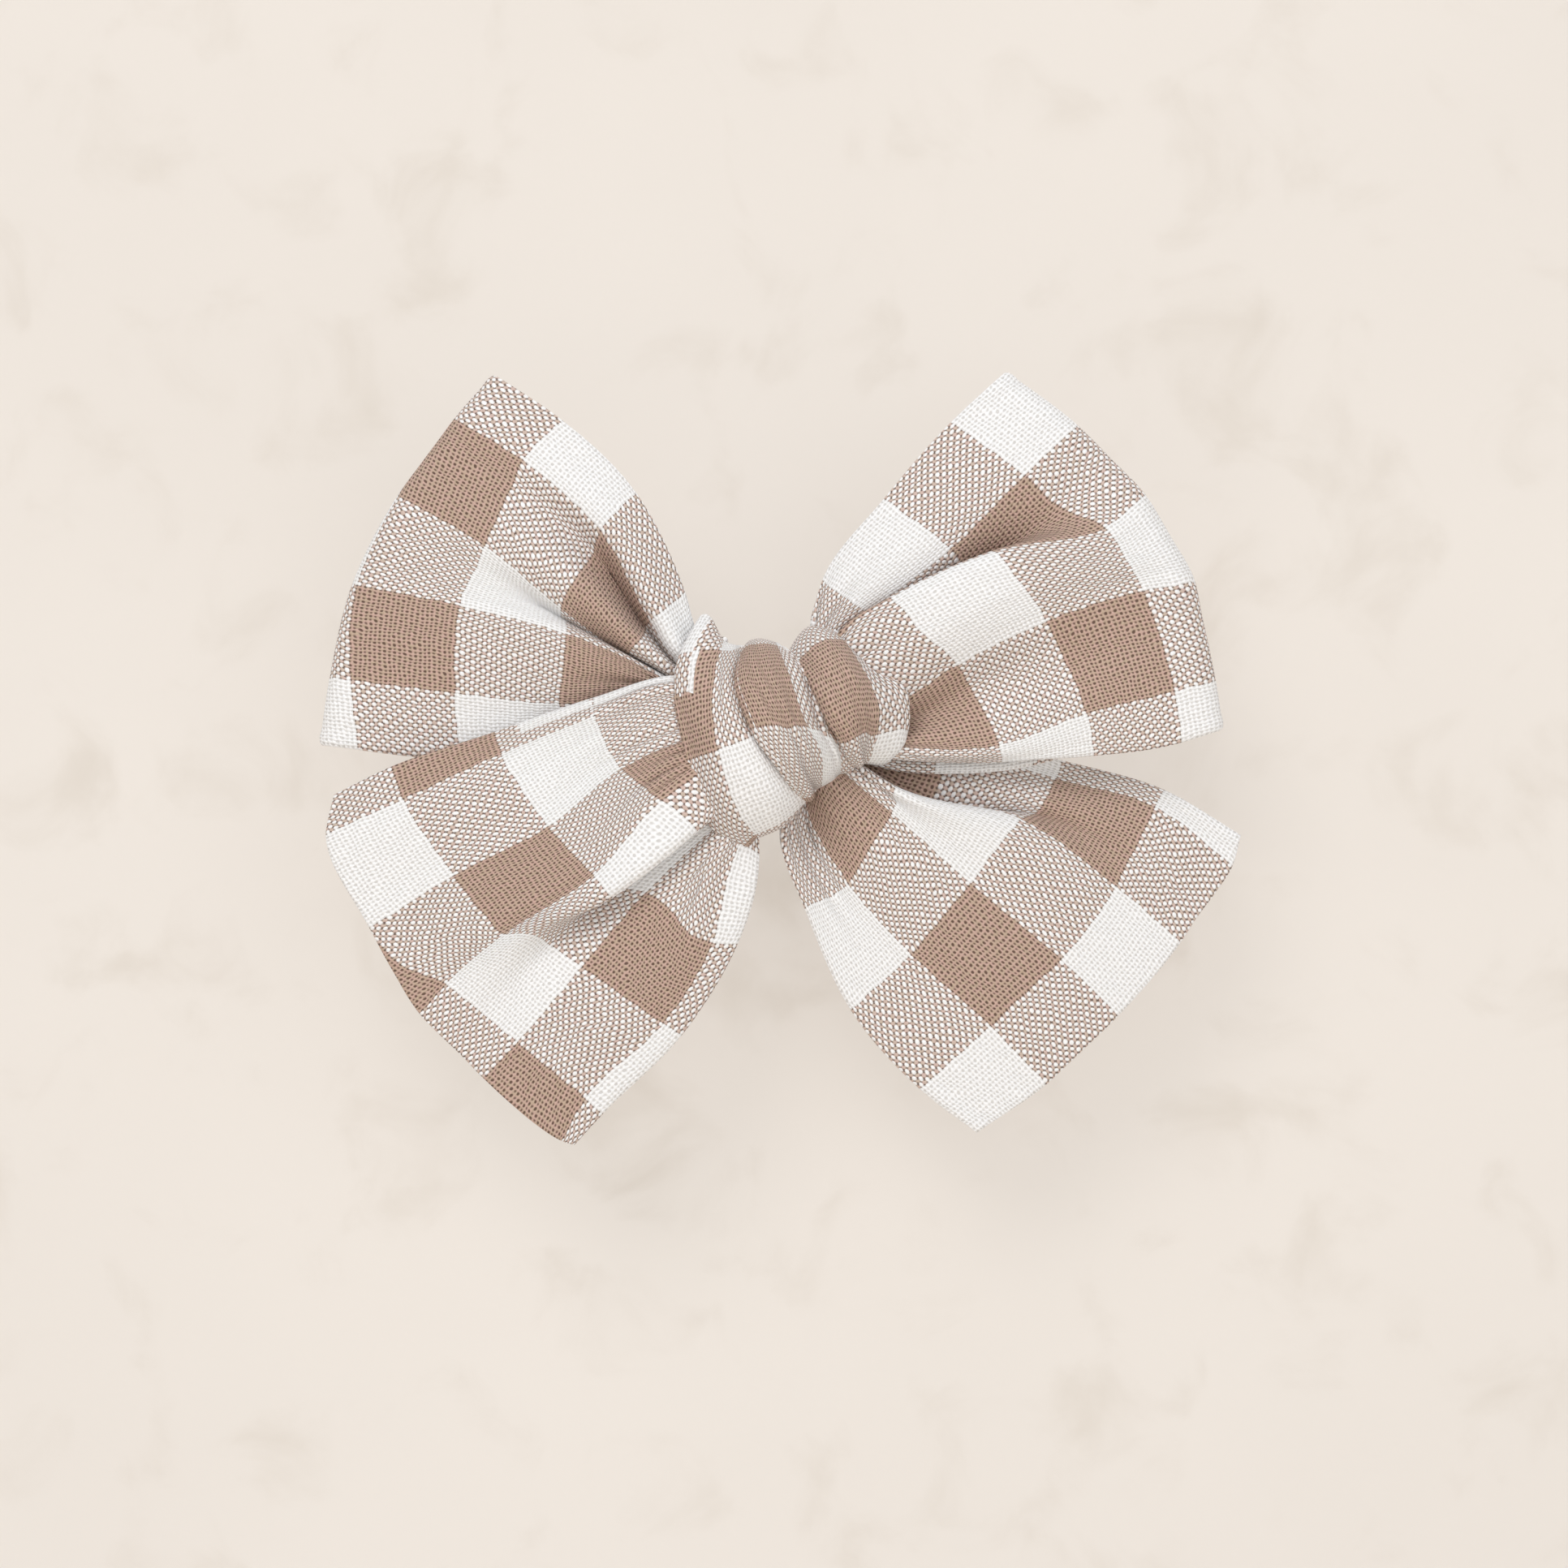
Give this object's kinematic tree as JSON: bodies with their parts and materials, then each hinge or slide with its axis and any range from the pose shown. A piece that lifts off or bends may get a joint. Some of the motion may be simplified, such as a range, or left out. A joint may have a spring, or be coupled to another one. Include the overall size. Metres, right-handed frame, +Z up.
{
  "type": "hair bow on a sprung clip",
  "caption": "Knotted bow of checked cloth with two folded loops above and two spread tails below, gathered in a pleated knot and glued to a sprung steel hair clip that opens behind it.",
  "frame": {"origin": "middle of the gripping face of the clip's fixed arm, straight behind the middle of the knot, where the hair lies", "axes": "+Z up, +X to the wearer's-view right across the bow, -Y out of the bow's face, +Y from the arm towards the opening jaw"},
  "size_m": [0.1067, 0.0298, 0.0886],
  "materials": {
    "checked_cloth": "brown and white checked plain-weave linen or cotton, matt",
    "ribbon_cloth": "ribbed cream ribbon",
    "thread": "twisted cotton thread",
    "glue": "cloudy set hot-melt glue",
    "clip_steel": "nickel-plated pressed steel",
    "spring_steel": "drawn spring wire"
  },
  "bodies": {
    "bow_and_arm": {"upper_left_loop": "checked_cloth", "upper_right_loop": "checked_cloth", "lower_left_tail": "checked_cloth", "lower_right_tail": "checked_cloth", "bow_waist": "checked_cloth", "cinch_thread": "thread", "knot_left_pleat": "checked_cloth", "knot_middle_pleat": "checked_cloth", "knot_right_pleat": "checked_cloth", "glue_pad": "glue", "lining_ribbon": "ribbon_cloth", "clip_arm": "clip_steel", "clip_spring": "spring_steel", "hinge_pin": "clip_steel"},
    "jaw": {"clip_jaw": "clip_steel"}
  },
  "joints": [
    {"name": "jaw_hinge", "type": "hinge", "parent": "bow_and_arm", "child": "jaw", "pos_m": [0.009, 0.0034, 0], "axis": [0, 0, -1], "range_deg": [0, 30], "stiffness_Nm_per_rad": 0.06, "springref_deg": -45.84, "deforming": ["clip_spring"]}
  ]
}
